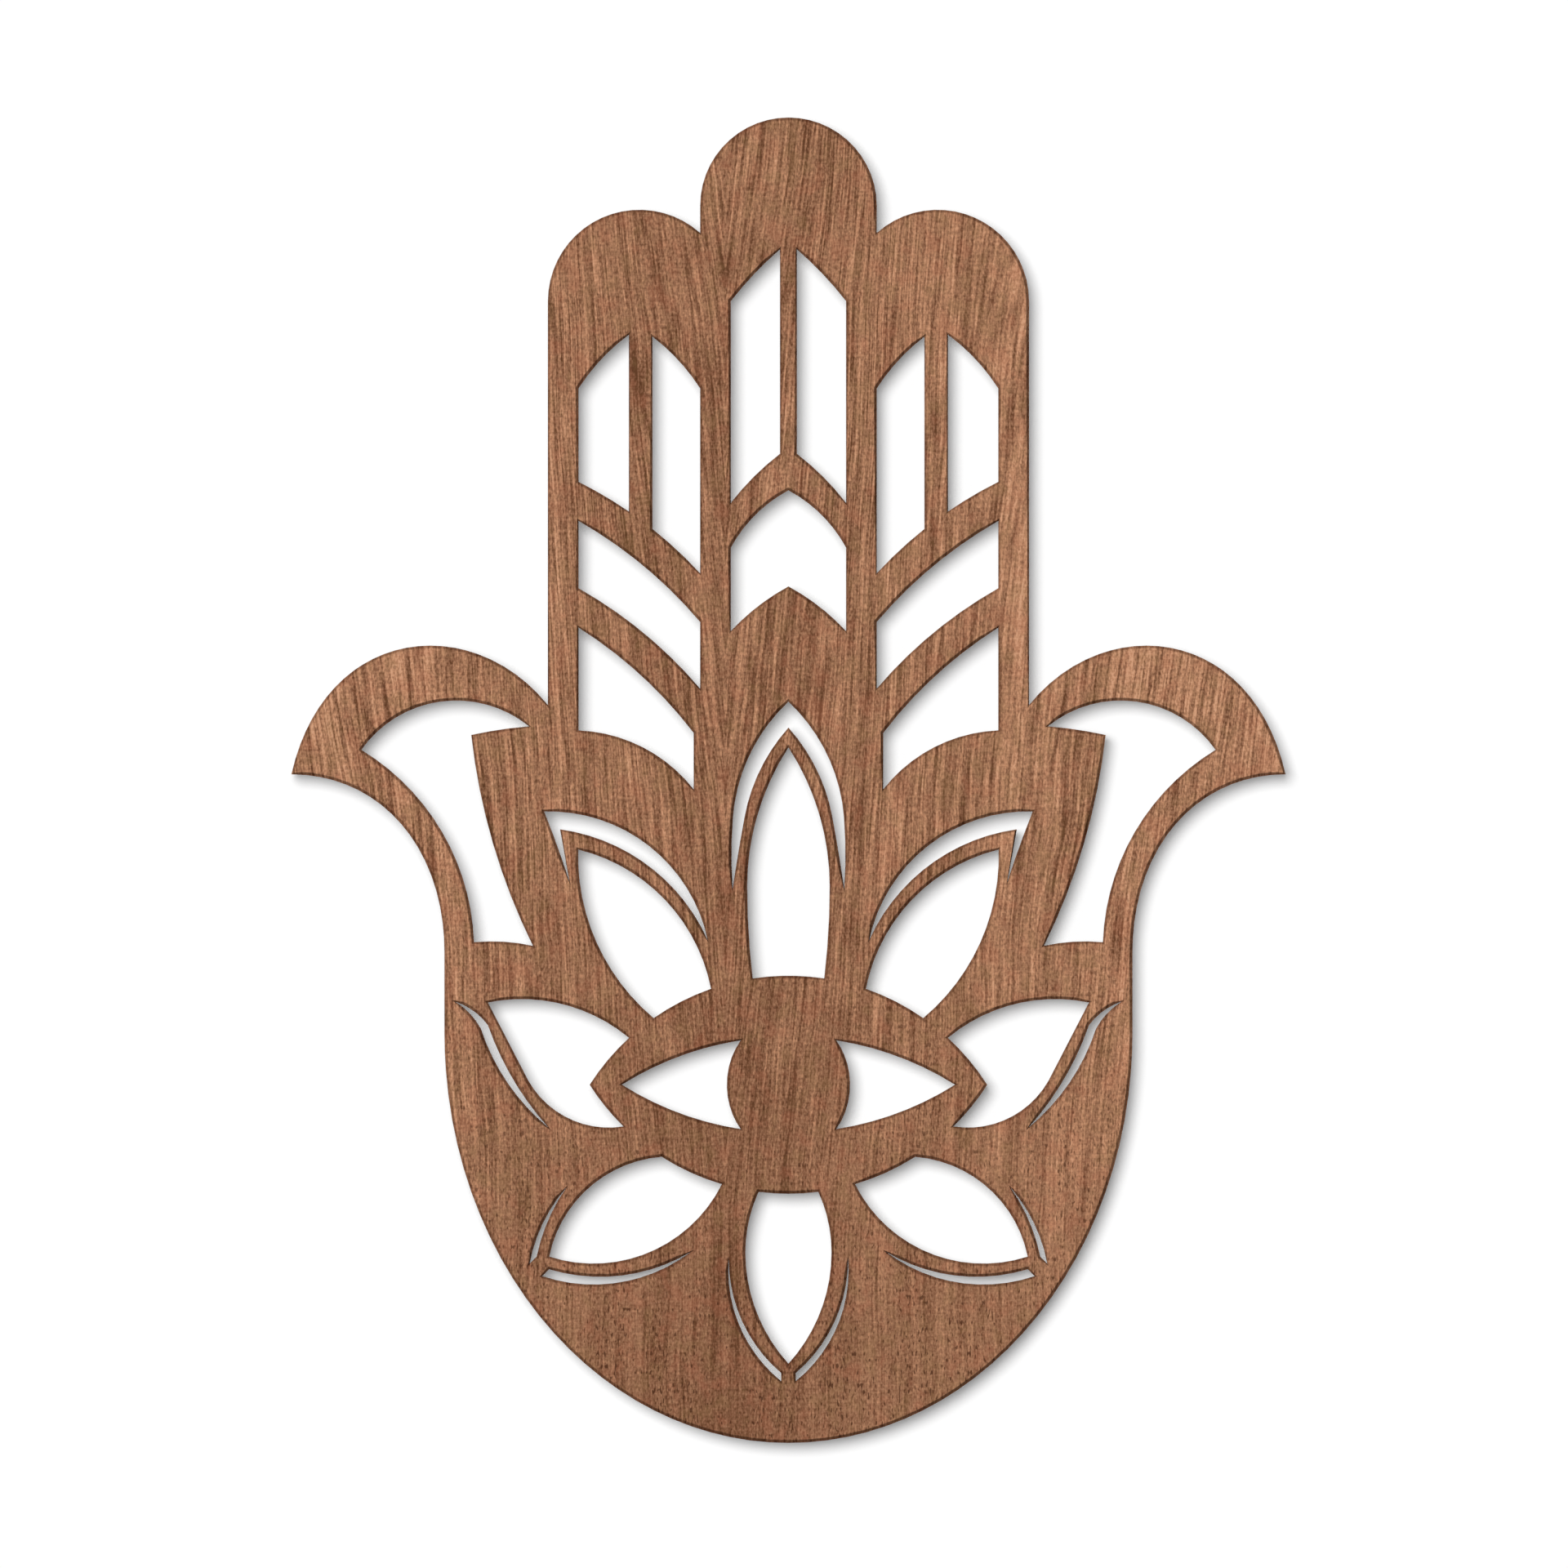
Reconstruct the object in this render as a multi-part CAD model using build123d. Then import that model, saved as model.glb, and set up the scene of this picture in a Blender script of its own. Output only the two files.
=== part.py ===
from build123d import *

import os
from math import cos, radians, sin, sqrt

# Hamsa hand wall ornament: a fretted sheet of veneered board, with a ring hanger and two bumpers on its back.
# The hand is drawn about the centre of its eye, with x to the right and y up, in millimetres.
# Sizes are stacked on one another from the eye outwards, so that every cut-out keeps its walls.
# The finished part stands upright and faces -Y, the wall is the plane y = 0, and +Z is up.
# The origin is where the nail that carries the ring meets the wall.

# Sheet: two veneers on a core
face_veneer_thickness = 0.6
core_thickness = 4.8
back_veneer_thickness = 0.6

# Eye: a solid almond, with two cut-out whites beside its iris
eye_length = 120.0
eye_height = 65.8
eye_corner_wall = 9.7
eye_white_height = 29.0
iris_width = 37.2
iris_height = 42.4

# Directions from the eye's centre in which the petals' sides meet the eye's edge, in degrees
top_petal_base_angle = 71.4
upper_petal_inner_angle = 51.1
upper_petal_outer_angle = 26.3
side_petal_upper_angle = 16.4
side_petal_lower_angle = -14.2
lower_petal_outer_angle = -29.6
lower_petal_inner_angle = -56.2
bottom_petal_base_angle = -74.4

# Top petal, upright above the eye, under a pointed slit
top_petal_length = 68.9
top_petal_width = 24.9
top_petal_belly_rise = 27.0
top_slit_rim = 6.0
top_slit_width = 7.8
top_slit_drop = 56.5
top_slit_tail_out = 4.4
top_slit_side_rim = 0.8
top_slit_side_width = 3.5
top_slit_turn_drop = 34.8
top_slit_inner_lean = 10.5
top_slit_outer_lean = 4.5

# Upper petals, slanting out to each side, each under a hooked slit
upper_petal_angle = 48.2
upper_petal_length = 57.3
upper_petal_upper_bow = 8.5
upper_petal_lower_bow = 6.4
upper_slit_rim = 8.2
upper_slit_width = 7.2
upper_slit_outer_bow = 11.4
upper_slit_inner_bow = 7.2
upper_slit_hook_bow = 0.2
upper_slit_hook_out = 2.6
upper_slit_hook_drop = 9.8
upper_slit_tail_out = 1.0
upper_slit_tail_rise = 14.7

# Side petals, past the eye's corners, each above an S-shaped slit
side_petal_angle = 15.3
side_petal_length = 43.3
side_petal_upper_bow = 5.0
side_petal_lower_bow = 5.0
side_petal_turn_out = 18.5
side_petal_turn_rise = 1.2
side_slit_drop = 6.8
side_slit_width = 2.4
side_slit_tip_out = 9.9
side_slit_tip_drop = -0.3
side_slit_tail_in = 6.2
side_slit_tail_drop = 14.3
side_slit_inner_bow = 1.8
side_slit_outer_bow = 2.6
side_slit_inner_tip_bow = 0.95
side_slit_outer_tip_bow = 0.75

# Lower petals, slanting down to each side, each with two blunt slits round its tip
lower_petal_angle = -35.7
lower_petal_wall = 12.8
lower_petal_upper_bow = 7.6
lower_petal_lower_bow = 10.5
lower_slit_rim = 3.8
lower_slit_width = 2.1
under_slit_length = 43.0
under_slit_tail_rise = 1.6
under_slit_lower_bow = 5.7
under_slit_upper_bow = 4.6
outer_slit_length = 20.9
outer_slit_tail_in = 5.2
outer_slit_outer_bow = 1.7
outer_slit_inner_bow = 1.15

# Bottom petal, upright below the eye, with a blunt slit on each side of its tip
bottom_petal_length = 51.3
bottom_petal_width = 26.0
bottom_petal_belly_drop = 17.7
bottom_slit_rim = 2.8
bottom_slit_width = 2.5
bottom_slit_gap = 4.4
bottom_slit_tail_rise = 31.7
bottom_slit_side_rim = 5.0
bottom_slit_outer_bow = 5.0
bottom_slit_inner_bow = 4.2

# Palm
palm_bottom_wall = 23.9
palm_side_wall = 13.1
palm_shoulder_rise = 15.5
wrist_rise = 40.0
wrist_fullness = 0.585

# Thumbs, curling out from the palm, with one window each
thumb_flare = 46.2
thumb_tip_drop = 11.9
thumb_crest_root_pull = 36.7
thumb_crest_root_angle = 51.2
thumb_crest_tip_pull = 46.1
thumb_crest_tip_angle = 102.7
thumb_root_rise = 6.4
thumb_root_wall = 5.7
thumb_notch_angle = 47.8
thumb_notch_wall = 31.9
thumb_notch_rise = 2.6
thumb_notch_bow = 0.3
thumb_sill_wall = 18.2
thumb_sill_width = 17.8
thumb_sill_drop = 1.1
thumb_sill_bow = 0.7
thumb_wrist_wall = 8.9
thumb_window_tip_wall = 21.1
thumb_window_tip_rise = 7.4
thumb_window_top_bow = 11.1
thumb_window_outer_bow = 8.5
thumb_window_inner_bow = 2.9

# Fingers: widths from the centre line outwards
middle_bar_width = 5.1
pane_width = 14.85
rail_width = 9.25
outer_near_pane_width = 14.4
outer_far_pane_width = 15.2
outer_bar_width = 7.1

# Middle finger: heights upwards from the tip of the top petal's slit
palm_point_wall = 34.8
chevron_window_height = 29.0
chevron_bar_depth = 12.9
middle_window_height = 62.0
middle_tip_wall = 37.6
palm_point_rise = 13.5
palm_point_bow = 0.9
chevron_lower_rise = 17.3
chevron_lower_bow = 1.8
chevron_upper_rise = 16.7
chevron_upper_bow = 0.9
middle_arch_rise = 17.8
middle_arch_bow = 0.7

# Outer fingers: heights upwards from the upper petal's slit, along the inner rail and along the outer one
inner_sill_wall = 45.5
outer_sill_wall = 24.5
sill_bow = 4.3
sill_inset = 1.95
low_window_inner_height = 17.0
low_window_outer_height = 31.0
low_bar_inner_depth = 13.4
low_bar_outer_depth = 11.9
mid_window_inner_height = 20.1
mid_window_outer_height = 20.3
high_bar_inner_depth = 14.7
high_bar_outer_depth = 11.8
slanted_bar_bow = 2.1
outer_arch_spring_height = 28.2
outer_arch_rise = 18.4
outer_arch_bow = 1.4
outer_tip_wall = 35.5

# Ring hanger, screwed to the back of the middle finger
hanger_drop = 18.5
ring_wire = 2.0
ring_width = 12.0
ring_height = 11.0
ring_corner_radius = 2.5
ring_clearance = 0.05
strap_thickness = 0.8
strap_width = 9.0
strap_length = 17.0
strap_corner_radius = 2.5
strap_leaf_gap = 0.06
strap_pinch_angle = 50.0
strap_pinch_radius = 1.2
screw_diameter = 2.2
screw_length = 6.5
screw_point = 1.6
screw_head_diameter = 4.0
screw_head_height = 1.4
screw_head_edge = 0.6
screw_recess_width = 0.6
screw_recess_span = 2.2
screw_recess_depth = 0.8
screw_hole_clearance = 0.1
screw_drop = 5.6
screw_pitch = 6.6

# Rubber bumpers that hold the palm off the wall
bumper_height = 4.0
bumper_diameter = 12.0
bumper_taper = 0.5
bumper_edge_radius = 0.8
bumper_spacing = 90.0
bumper_inset = 19.0


# Helpers

def bowed(start, end, bow):
    """Edge from start to end, bulging by bow to the right of its direction."""
    return SagittaArc(start, end, -bow) if bow else Line(start, end)


def cutout(*corners):
    """Face with its corners anticlockwise, each one a point and the bow of the edge that leaves it."""
    points = [Vector(point) for point, bow in corners]
    ends = points[1:] + points[:1]
    return make_face([bowed(start, end, bow) for start, end, (point, bow) in zip(points, ends, corners)])


def mirrored(shape):
    """The same shape on the other side of the centre line."""
    return mirror(shape, about=Plane.YZ)


def polar(distance, angle):
    """Step of a length in a direction, which from the eye's centre is a point."""
    return Vector(distance * cos(radians(angle)), distance * sin(radians(angle)))


eye_radius = (eye_length ** 2 + eye_height ** 2) / (4 * eye_height)


def eye_reach(angle):
    """Distance from the eye's centre to its edge in a direction."""
    sunk = (eye_radius - eye_height / 2) * abs(sin(radians(angle)))
    return sqrt(sunk ** 2 + eye_length ** 2 / 4) - sunk


def on_eye(angle):
    """Point of the eye's edge in a direction."""
    return polar(eye_reach(angle), angle)


def eye_bow(start, end):
    """Bow of the eye's edge between two of its points."""
    return eye_radius - sqrt(eye_radius ** 2 - (end - start).length ** 2 / 4)


def palm_reach(angle):
    """Distance from the eye's centre to the palm's round edge in a direction."""
    across = (cos(radians(angle)) / palm_half_width) ** 2
    up = (sin(radians(angle)) / palm_half_height) ** 2
    shift = palm_shoulder_rise * sin(radians(angle)) / palm_half_height ** 2
    rest = 1 - (palm_shoulder_rise / palm_half_height) ** 2
    return (shift + sqrt(shift ** 2 + (across + up) * rest)) / (across + up)


# Points and heights that several cut-outs share
top_tip = eye_height / 2 + top_petal_length
top_slit_tip = top_tip + top_slit_rim + top_slit_width
upper_tip_reach = eye_reach(upper_petal_angle) + upper_petal_length
upper_tip = polar(upper_tip_reach, upper_petal_angle)
upper_slit_reach = upper_tip_reach + upper_slit_rim + upper_slit_width
upper_slit_corner = polar(upper_slit_reach, upper_petal_angle)
upper_slit_tail = on_eye(upper_petal_inner_angle) + Vector(upper_slit_tail_out, upper_slit_tail_rise)
side_tip = polar(eye_reach(side_petal_angle) + side_petal_length, side_petal_angle)
bottom_tip = -eye_height / 2 - bottom_petal_length

palm_half_width = side_tip.X + palm_side_wall
palm_bottom = bottom_tip - palm_bottom_wall
palm_half_height = palm_shoulder_rise - palm_bottom
lower_tip = polar(palm_reach(lower_petal_angle) - lower_petal_wall, lower_petal_angle)

middle_window_half = middle_bar_width / 2 + pane_width
middle_half_width = middle_window_half + rail_width
outer_bar_start = middle_half_width + outer_near_pane_width
outer_window_end = outer_bar_start + outer_bar_width + outer_far_pane_width
outer_axis = (middle_half_width + outer_window_end) / 2
fingers_half_width = outer_window_end + rail_width

palm_point = top_slit_tip + palm_point_wall
chevron_bottom = palm_point + chevron_window_height
chevron_top = chevron_bottom + chevron_bar_depth
middle_window_top = chevron_top + middle_window_height
middle_tip = middle_window_top + middle_tip_wall

inner_sill = upper_slit_tail.Y + inner_sill_wall
outer_sill = upper_slit_corner.Y + outer_sill_wall
low_bar_bottom = (inner_sill + low_window_inner_height, outer_sill + low_window_outer_height)
low_bar_top = (low_bar_bottom[0] + low_bar_inner_depth, low_bar_bottom[1] + low_bar_outer_depth)
high_bar_bottom = (low_bar_top[0] + mid_window_inner_height, low_bar_top[1] + mid_window_outer_height)
high_bar_top = (high_bar_bottom[0] + high_bar_inner_depth, high_bar_bottom[1] + high_bar_outer_depth)
outer_arch_spring = high_bar_top[1] + outer_arch_spring_height
outer_tip = outer_arch_spring + outer_arch_rise + outer_tip_wall

thumb_notch = polar(upper_slit_reach + thumb_notch_wall, thumb_notch_angle)
thumb_window_root = Vector(fingers_half_width + thumb_root_wall, thumb_notch.Y + thumb_notch_rise)
thumb_root = Vector(fingers_half_width, thumb_window_root.Y + thumb_root_rise)
thumb_tip = Vector(palm_half_width + thumb_flare, thumb_notch.Y - thumb_tip_drop)


# Outline of the hand

def hand_outline():
    """Three fingers, two thumbs and a round palm."""
    middle_centre = middle_tip - middle_half_width
    outer_radius = fingers_half_width - outer_axis
    outer_centre = outer_tip - outer_radius
    valley = outer_centre + sqrt(outer_radius ** 2 - (outer_axis - middle_half_width) ** 2)
    wrist = Vector(palm_half_width, wrist_rise)
    flare = (thumb_tip - wrist) * wrist_fullness
    crest_start = thumb_root + polar(thumb_crest_root_pull, thumb_crest_root_angle)
    crest_end = thumb_tip + polar(thumb_crest_tip_pull, thumb_crest_tip_angle)
    right_side = [
        CenterArc((0, middle_centre), middle_half_width, 0, 90),
        Line((middle_half_width, middle_centre), (middle_half_width, valley)),
        ThreePointArc((middle_half_width, valley), (outer_axis, outer_tip), (fingers_half_width, outer_centre)),
        Line((fingers_half_width, outer_centre), thumb_root),
        Bezier(thumb_root, crest_start, crest_end, thumb_tip),
        Bezier(thumb_tip, thumb_tip - Vector(flare.X, 0), wrist + Vector(0, flare.Y), wrist),
        Line(wrist, (palm_half_width, palm_shoulder_rise)),
        EllipticalCenterArc((0, palm_shoulder_rise), palm_half_width, palm_half_height, 270, arc_size=90),
    ]
    return make_face(right_side + [mirrored(edge) for edge in right_side])


# Cut-outs on the centre line

def eye_whites():
    """The two whites beside the iris."""
    corner = eye_length / 2 - eye_corner_wall
    white = cutout(((-corner, 0), eye_white_height / 2), ((corner, 0), eye_white_height / 2))
    return white - Ellipse(iris_width / 2, iris_height / 2)


def upright_petal(base, widest, tip):
    """Petal on the centre line, from the eye's edge through its widest point to its tip."""
    side = [
        TangentArc(widest, base, tangent=(0, base.Y - widest.Y)),
        TangentArc(widest, (0, tip), tangent=(0, tip - widest.Y)),
    ]
    far_base = Vector(-base.X, base.Y)
    foot = bowed(base, far_base, eye_bow(base, far_base) * (1 if tip > 0 else -1))
    return make_face(side + [mirrored(edge) for edge in side] + [foot])


def top_petal():
    """Upright petal above the eye."""
    widest = Vector(top_petal_width / 2, eye_height / 2 + top_petal_belly_rise)
    return upright_petal(on_eye(top_petal_base_angle), widest, top_tip)


def top_slit():
    """Pointed slit over the top petal, both edges of which run on steeply beside the petal to a thin tail."""
    inner_turn = Vector(top_petal_width / 2 + top_slit_side_rim, top_slit_tip - top_slit_turn_drop)
    outer_turn = inner_turn + Vector(top_slit_side_width, 0)
    tail = Vector(top_petal_width / 2 + top_slit_tail_out, top_slit_tip - top_slit_drop)
    inner_way = polar(1, top_slit_inner_lean - 90)
    outer_way = polar(1, top_slit_outer_lean - 90)
    side = [
        TangentArc(outer_turn, (0, top_slit_tip), tangent=-outer_way),
        TangentArc(outer_turn, tail, tangent=outer_way),
        TangentArc(inner_turn, tail, tangent=inner_way),
        TangentArc(inner_turn, (0, top_slit_tip - top_slit_width), tangent=-inner_way),
    ]
    return make_face(side + [mirrored(edge) for edge in side])


def bottom_petal():
    """Upright petal below the eye."""
    widest = Vector(bottom_petal_width / 2, -eye_height / 2 - bottom_petal_belly_drop)
    return upright_petal(on_eye(bottom_petal_base_angle), widest, bottom_tip)


def middle_window(base, base_rise, base_bow, top, top_rise, top_bow):
    """Window of the middle finger, with a pointed sill and a pointed head."""
    left, right = -middle_window_half, middle_window_half
    return cutout(
        ((right, base - base_rise), 0),
        ((right, top - top_rise), top_bow),
        ((0, top), top_bow),
        ((left, top - top_rise), 0),
        ((left, base - base_rise), -base_bow),
        ((0, base), -base_bow),
    )


def middle_windows():
    """Chevron window above the palm, and the barred window above it."""
    lower = middle_window(
        palm_point, palm_point_rise, palm_point_bow, chevron_bottom, chevron_lower_rise, chevron_lower_bow
    )
    upper = middle_window(
        chevron_top, chevron_upper_rise, chevron_upper_bow, middle_window_top, middle_arch_rise, middle_arch_bow
    )
    bar = Rectangle(middle_bar_width, 2 * middle_tip)
    return [lower, upper - bar]


# Cut-outs of the right half, which the left half mirrors

def upper_petal():
    """Slanting petal above the eye."""
    inner, outer = on_eye(upper_petal_inner_angle), on_eye(upper_petal_outer_angle)
    return cutout(
        (outer, upper_petal_lower_bow),
        (upper_tip, upper_petal_upper_bow),
        (inner, -eye_bow(inner, outer)),
    )


def upper_slit():
    """Hooked slit over the upper petal."""
    return cutout(
        (upper_slit_tail, -upper_slit_inner_bow),
        (polar(upper_tip_reach + upper_slit_rim, upper_petal_angle), 0),
        (upper_tip + Vector(upper_slit_hook_out, -upper_slit_hook_drop), -upper_slit_hook_bow),
        (upper_slit_corner, upper_slit_outer_bow),
    )


side_turn = Vector(eye_length / 2 + side_petal_turn_out, side_petal_turn_rise)


def side_petal():
    """Petal past the eye's corner, with an S-shaped lower edge."""
    upper, lower = on_eye(side_petal_upper_angle), on_eye(side_petal_lower_angle)
    corner = on_eye(0)
    return cutout(
        (lower, side_petal_lower_bow),
        (side_turn, 0),
        (side_tip, side_petal_upper_bow),
        (upper, -eye_bow(upper, corner)),
        (corner, -eye_bow(corner, lower)),
    )


def side_slit():
    """S-shaped slit along the side petal's lower edge."""
    bend = side_tip - Vector(0, side_slit_drop)
    across = (side_tip - side_turn).normalized() * side_slit_width
    return cutout(
        (side_turn - Vector(side_slit_tail_in, side_slit_tail_drop), side_slit_outer_bow),
        (bend + Vector(across.Y, -across.X), -side_slit_outer_tip_bow),
        (side_tip + Vector(side_slit_tip_out, -side_slit_tip_drop), side_slit_inner_tip_bow),
        (bend, -side_slit_inner_bow),
    )


def lower_petal():
    """Slanting petal below the eye."""
    inner, outer = on_eye(lower_petal_inner_angle), on_eye(lower_petal_outer_angle)
    return cutout(
        (inner, lower_petal_lower_bow),
        (lower_tip, lower_petal_upper_bow),
        (outer, -eye_bow(inner, outer)),
    )


def under_slit():
    """Blunt slit below the lower petal."""
    return cutout(
        (lower_tip + Vector(-under_slit_length, under_slit_tail_rise), under_slit_lower_bow),
        (lower_tip + Vector(lower_slit_width, -lower_slit_rim - lower_slit_width), 0),
        (lower_tip - Vector(0, lower_slit_rim), -under_slit_upper_bow),
    )


def outer_slit():
    """Blunt slit beside the lower petal's tip."""
    return cutout(
        (lower_tip + Vector(-outer_slit_tail_in, outer_slit_length), -outer_slit_inner_bow),
        (lower_tip + Vector(lower_slit_rim, 0), 0),
        (lower_tip + Vector(lower_slit_rim + lower_slit_width, -lower_slit_width), outer_slit_outer_bow),
    )


def bottom_slit():
    """Blunt slit beside the bottom petal's tip."""
    end = Vector(bottom_slit_gap / 2, bottom_tip - bottom_slit_rim)
    return cutout(
        (Vector(bottom_petal_width / 2 + bottom_slit_side_rim, bottom_tip + bottom_slit_tail_rise), -bottom_slit_inner_bow),
        (end, 0),
        (end - Vector(0, bottom_slit_width), bottom_slit_outer_bow),
    )


def thumb_window():
    """Curling window of the thumb."""
    sill_end = Vector(palm_half_width - thumb_wrist_wall, side_tip.Y + thumb_sill_wall)
    return cutout(
        (sill_end - Vector(thumb_sill_width, thumb_sill_drop), -thumb_sill_bow),
        (sill_end, -thumb_window_outer_bow),
        (thumb_tip + Vector(-thumb_window_tip_wall, thumb_window_tip_rise), thumb_window_top_bow),
        (thumb_window_root, -thumb_notch_bow),
        (thumb_notch, -thumb_window_inner_bow),
    )


def outer_windows():
    """Three windows of the outer finger between its slanted bars, the top one with a pointed head and a bar."""
    left, right = middle_half_width, outer_window_end
    low = cutout(
        ((left + sill_inset, inner_sill), -sill_bow),
        ((right, outer_sill), 0),
        ((right, low_bar_bottom[1]), slanted_bar_bow),
        ((left + sill_inset, low_bar_bottom[0]), 0),
    )
    mid = cutout(
        ((left, low_bar_top[0]), -slanted_bar_bow),
        ((right, low_bar_top[1]), 0),
        ((right, high_bar_bottom[1]), slanted_bar_bow),
        ((left, high_bar_bottom[0]), 0),
    )
    high = cutout(
        ((left, high_bar_top[0]), -slanted_bar_bow),
        ((right, high_bar_top[1]), 0),
        ((right, outer_arch_spring), outer_arch_bow),
        ((outer_axis, outer_arch_spring + outer_arch_rise), outer_arch_bow),
        ((left, outer_arch_spring), 0),
    )
    bar = Pos(outer_bar_start + outer_bar_width / 2, 0) * Rectangle(outer_bar_width, 2 * outer_tip)
    return [low, mid, high - bar]


def fretted_hand():
    """The hand with all its cut-outs."""
    centre = [eye_whites(), top_petal(), top_slit(), bottom_petal(), *middle_windows()]
    right = [
        upper_petal(), upper_slit(), side_petal(), side_slit(), lower_petal(), under_slit(), outer_slit(),
        bottom_slit(), thumb_window(), *outer_windows(),
    ]
    hand = hand_outline()
    for opening in centre + right + [mirrored(shape) for shape in right]:
        hand = hand - opening
    return hand



# Placing: the hand's drawing stands upright at a distance from the wall

back_face = -bumper_height
hinge_height = middle_tip - hanger_drop
nail_height = hinge_height + ring_height
hinge = Vector(0, back_face + strap_thickness + ring_clearance + ring_wire / 2, -ring_height)
strap_back = back_face + 2 * strap_thickness + strap_leaf_gap
screw_heights = [hinge.Z - screw_drop, hinge.Z - screw_drop - screw_pitch]


def upright(y):
    """Plane of the hand's drawing at a place between the wall and the viewer."""
    return Plane(origin=(0, y, -nail_height), x_dir=(1, 0, 0), z_dir=(0, -1, 0))


def facing_wall(x, y, z):
    """Place whose own z axis points at the wall."""
    return Plane(origin=(x, y, z), x_dir=(-1, 0, 0), z_dir=(0, 1, 0)).location


# Hanger pieces

def screw_shank():
    """Shank and point of a screw, from under its head downwards."""
    shank = Pos(0, 0, -(screw_length - screw_point) / 2) * Cylinder(screw_diameter / 2, screw_length - screw_point)
    point = Cone(0.1, screw_diameter / 2, screw_point)
    return shank + Pos(0, 0, screw_point / 2 - screw_length) * point


def screw():
    """Pan-head screw with a cross recess."""
    head = Pos(0, 0, screw_head_height / 2) * Cylinder(screw_head_diameter / 2, screw_head_height)
    head = fillet(head.edges().group_by(Axis.Z)[-1], screw_head_edge)
    slot = Box(screw_recess_span, screw_recess_width, 2 * screw_recess_depth)
    cross = slot + Rot(0, 0, 90) * slot
    return head + screw_shank() - Pos(0, 0, screw_head_height) * cross


def at_screws(shape):
    """A shape at both screws' places."""
    return [facing_wall(0, strap_back, z) * shape for z in screw_heights]


def hanger_strap():
    """Strip folded round the ring's bar, with both leaves under the screws."""
    loop_radius = ring_wire / 2 + ring_clearance + strap_thickness / 2
    leaf_step = strap_thickness + strap_leaf_gap
    turn = radians(strap_pinch_angle)
    run = (loop_radius * (1 + cos(turn)) - leaf_step - strap_pinch_radius * (1 - cos(turn))) / sin(turn)
    near_leaf = Line((-loop_radius, -strap_length), (-loop_radius, 0))
    loop = JernArc(near_leaf @ 1, near_leaf % 1, loop_radius, -180 - strap_pinch_angle)
    slope = Line(loop @ 1, loop @ 1 + (loop % 1) * run)
    pinch = JernArc(slope @ 1, slope % 1, strap_pinch_radius, strap_pinch_angle)
    far_leaf = Line(pinch @ 1, ((pinch @ 1).X, -strap_length))
    strip = trace([near_leaf, loop, slope, pinch, far_leaf], strap_thickness)
    side = Plane(origin=hinge - Vector(strap_width / 2, 0, 0), x_dir=(0, 1, 0), z_dir=(1, 0, 0))
    strap = extrude(side * strip, strap_width)
    strap = fillet(strap.edges().filter_by(Axis.Y).group_by(Axis.Z)[0], strap_corner_radius)
    hole = Cylinder(screw_diameter / 2 + screw_hole_clearance, 6 * strap_thickness)
    return strap - at_screws(hole)


def hanger_ring():
    """Wire ring, straight along its bar and round at its top."""
    half = (ring_width + ring_wire) / 2
    top = ring_height + ring_wire / 2
    corner = ring_corner_radius
    path = Wire([
        Line((corner - half, 0), (half - corner, 0)),
        RadiusArc((half - corner, 0), (half, corner), -corner),
        Line((half, corner), (half, top - half)),
        ThreePointArc((half, top - half), (0, top), (-half, top - half)),
        Line((-half, top - half), (-half, corner)),
        RadiusArc((-half, corner), (corner - half, 0), -corner),
    ])
    path = Plane(origin=hinge, x_dir=(1, 0, 0), z_dir=(0, -1, 0)) * path
    section = Plane(origin=path @ 0, z_dir=path % 0) * Circle(ring_wire / 2)
    return sweep(section, path)


def bumper(x):
    """Tapered rubber button with a rounded rim, stuck to the back of the palm."""
    edge = palm_shoulder_rise - palm_half_height * sqrt(1 - (x / palm_half_width) ** 2)
    button = Cone(bumper_diameter / 2, bumper_diameter / 2 - bumper_taper, bumper_height)
    button = fillet(button.edges().group_by(Axis.Z)[-1], bumper_edge_radius)
    return facing_wall(x, back_face + bumper_height / 2, edge + bumper_inset - nail_height) * button


# Pieces of the finished part

hand = fretted_hand()
pilot_holes = at_screws(screw_shank())
core_back = back_face - back_veneer_thickness
core_front = core_back - core_thickness
pieces = {
    "face_veneer": extrude(upright(core_front) * hand, face_veneer_thickness),
    "core_board": extrude(upright(core_back) * hand, core_thickness) - pilot_holes,
    "back_veneer": extrude(upright(back_face) * hand, back_veneer_thickness) - pilot_holes,
    "hanger_strap": hanger_strap(),
    "hanger_ring": hanger_ring(),
    "hanger_screws": Compound(at_screws(screw())),
    "bumper_left": bumper(-bumper_spacing / 2),
    "bumper_right": bumper(bumper_spacing / 2),
}

os.makedirs("parts", exist_ok=True)
for name, piece in pieces.items():
    export_step(piece, f"parts/{name}.step")
    box = piece.bounding_box()
    print(name, f"{piece.volume / 1000:.2f} cm3", [round(v, 2) for v in (*box.min, *box.max)])
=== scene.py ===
import math
import bmesh
import bpy
from mathutils import Matrix, Vector


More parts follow.
